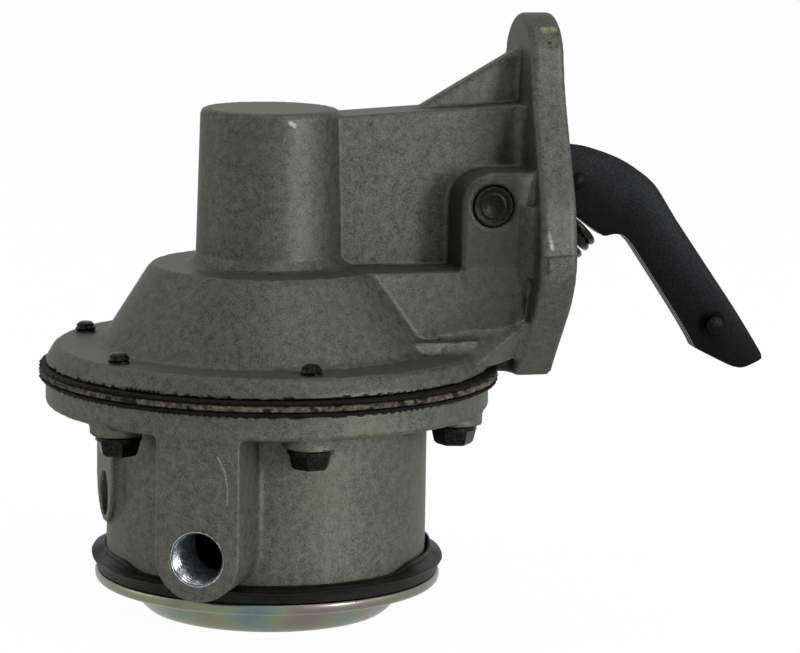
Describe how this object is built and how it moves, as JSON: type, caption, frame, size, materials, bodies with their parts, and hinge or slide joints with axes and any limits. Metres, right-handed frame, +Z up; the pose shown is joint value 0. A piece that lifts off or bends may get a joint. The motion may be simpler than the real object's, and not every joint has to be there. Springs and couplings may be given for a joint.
{
  "type": "mechanical fuel pump",
  "caption": "Lever-driven diaphragm fuel pump: cast domed housing with bolt-on flange and bent rocker arm, clamped fabric diaphragm, ported lower body and dished cover.",
  "frame": {"origin": "on the diaphragm axis, in the plane of the bottom cover's flat ring that the pump stands on", "axes": "+Z up along the diaphragm axis, +X towards the mounting flange and the rocker arm's tip, +Y away from the side with the larger port"},
  "size_m": [0.1662, 0.1016, 0.1323],
  "materials": {
    "casting": "rough cast, grey",
    "dark_steel": "oiled black steel",
    "bright_steel": "bright steel",
    "zinc_plate": "zinc plated, yellow chromate",
    "black_steel": "black phosphate",
    "rubber": "matte",
    "coated_cloth": "rubber coated cloth",
    "gasket": "matte",
    "brass": "turned"
  },
  "bodies": {
    "pump_body": {"upper_housing": "casting", "lower_body": "casting", "gasket_upper": "gasket", "main_diaphragm": "coated_cloth", "gasket_lower": "gasket", "spring_seat": "zinc_plate", "rod_seal": "rubber", "diaphragm_spring": "bright_steel", "pivot_pin": "bright_steel", "pivot_plug_near": "dark_steel", "pivot_plug_far": "dark_steel", "arm_return_spring": "bright_steel", "inlet_valve_seat": "brass", "inlet_valve_stem": "brass", "inlet_valve_spring": "bright_steel", "outlet_valve_seat": "brass", "outlet_valve_stem": "brass", "outlet_valve_spring": "bright_steel", "pulsator_diaphragm": "rubber", "bottom_cover": "zinc_plate", "cover_screw": "zinc_plate", "flange_screw_1": "black_steel", "flange_screw_2": "black_steel", "flange_screw_3": "black_steel", "flange_screw_4": "black_steel", "flange_screw_5": "black_steel", "flange_screw_6": "black_steel"},
    "rocker_arm": {"arm_plate_near": "dark_steel", "arm_core": "dark_steel", "arm_plate_far": "dark_steel", "arm_rivet_outer": "dark_steel", "arm_rivet_inner": "dark_steel", "arm_tip_pin": "dark_steel"},
    "pull_link": {"link": "bright_steel"},
    "diaphragm_rod": {"pull_rod": "bright_steel", "upper_plate": "bright_steel", "lower_plate": "bright_steel", "rod_nut": "bright_steel"},
    "inlet_valve": {"inlet_valve_disc": "rubber"},
    "outlet_valve": {"outlet_valve_disc": "rubber"}
  },
  "joints": [
    {"name": "arm_pivot", "type": "hinge", "parent": "pump_body", "child": "rocker_arm", "pos_m": [0.0463, 0, 0.0912], "axis": [0, 1, 0], "range_deg": [0, 7.4], "stiffness_Nm_per_rad": 2, "springref_deg": -5.73, "deforming": ["arm_return_spring"]},
    {"name": "link_pivot", "type": "hinge", "parent": "pump_body", "child": "pull_link", "pos_m": [0.0463, 0, 0.0912], "axis": [0, 1, 0], "range_deg": [0, 7.5]},
    {"name": "rod_slide", "type": "slide", "parent": "pump_body", "child": "diaphragm_rod", "axis": [0, 0, 1], "range_m": [0, 0.0061], "deforming": ["main_diaphragm", "diaphragm_spring"]},
    {"name": "inlet_valve_lift", "type": "slide", "parent": "pump_body", "child": "inlet_valve", "axis": [0, 0, 1], "range_m": [0, 0.0012], "stiffness_N_per_m": 60, "springref_m": -0.002, "deforming": ["inlet_valve_spring"]},
    {"name": "outlet_valve_lift", "type": "slide", "parent": "pump_body", "child": "outlet_valve", "axis": [0, 0, -1], "range_m": [0, 0.0012], "stiffness_N_per_m": 60, "springref_m": -0.002, "deforming": ["outlet_valve_spring"]}
  ],
  "couplings": [
    {"joint": "link_pivot", "follows": "arm_pivot", "ratio": 1},
    {"joint": "rod_slide", "follows": "arm_pivot", "m_per_rad": 0.0463}
  ]
}
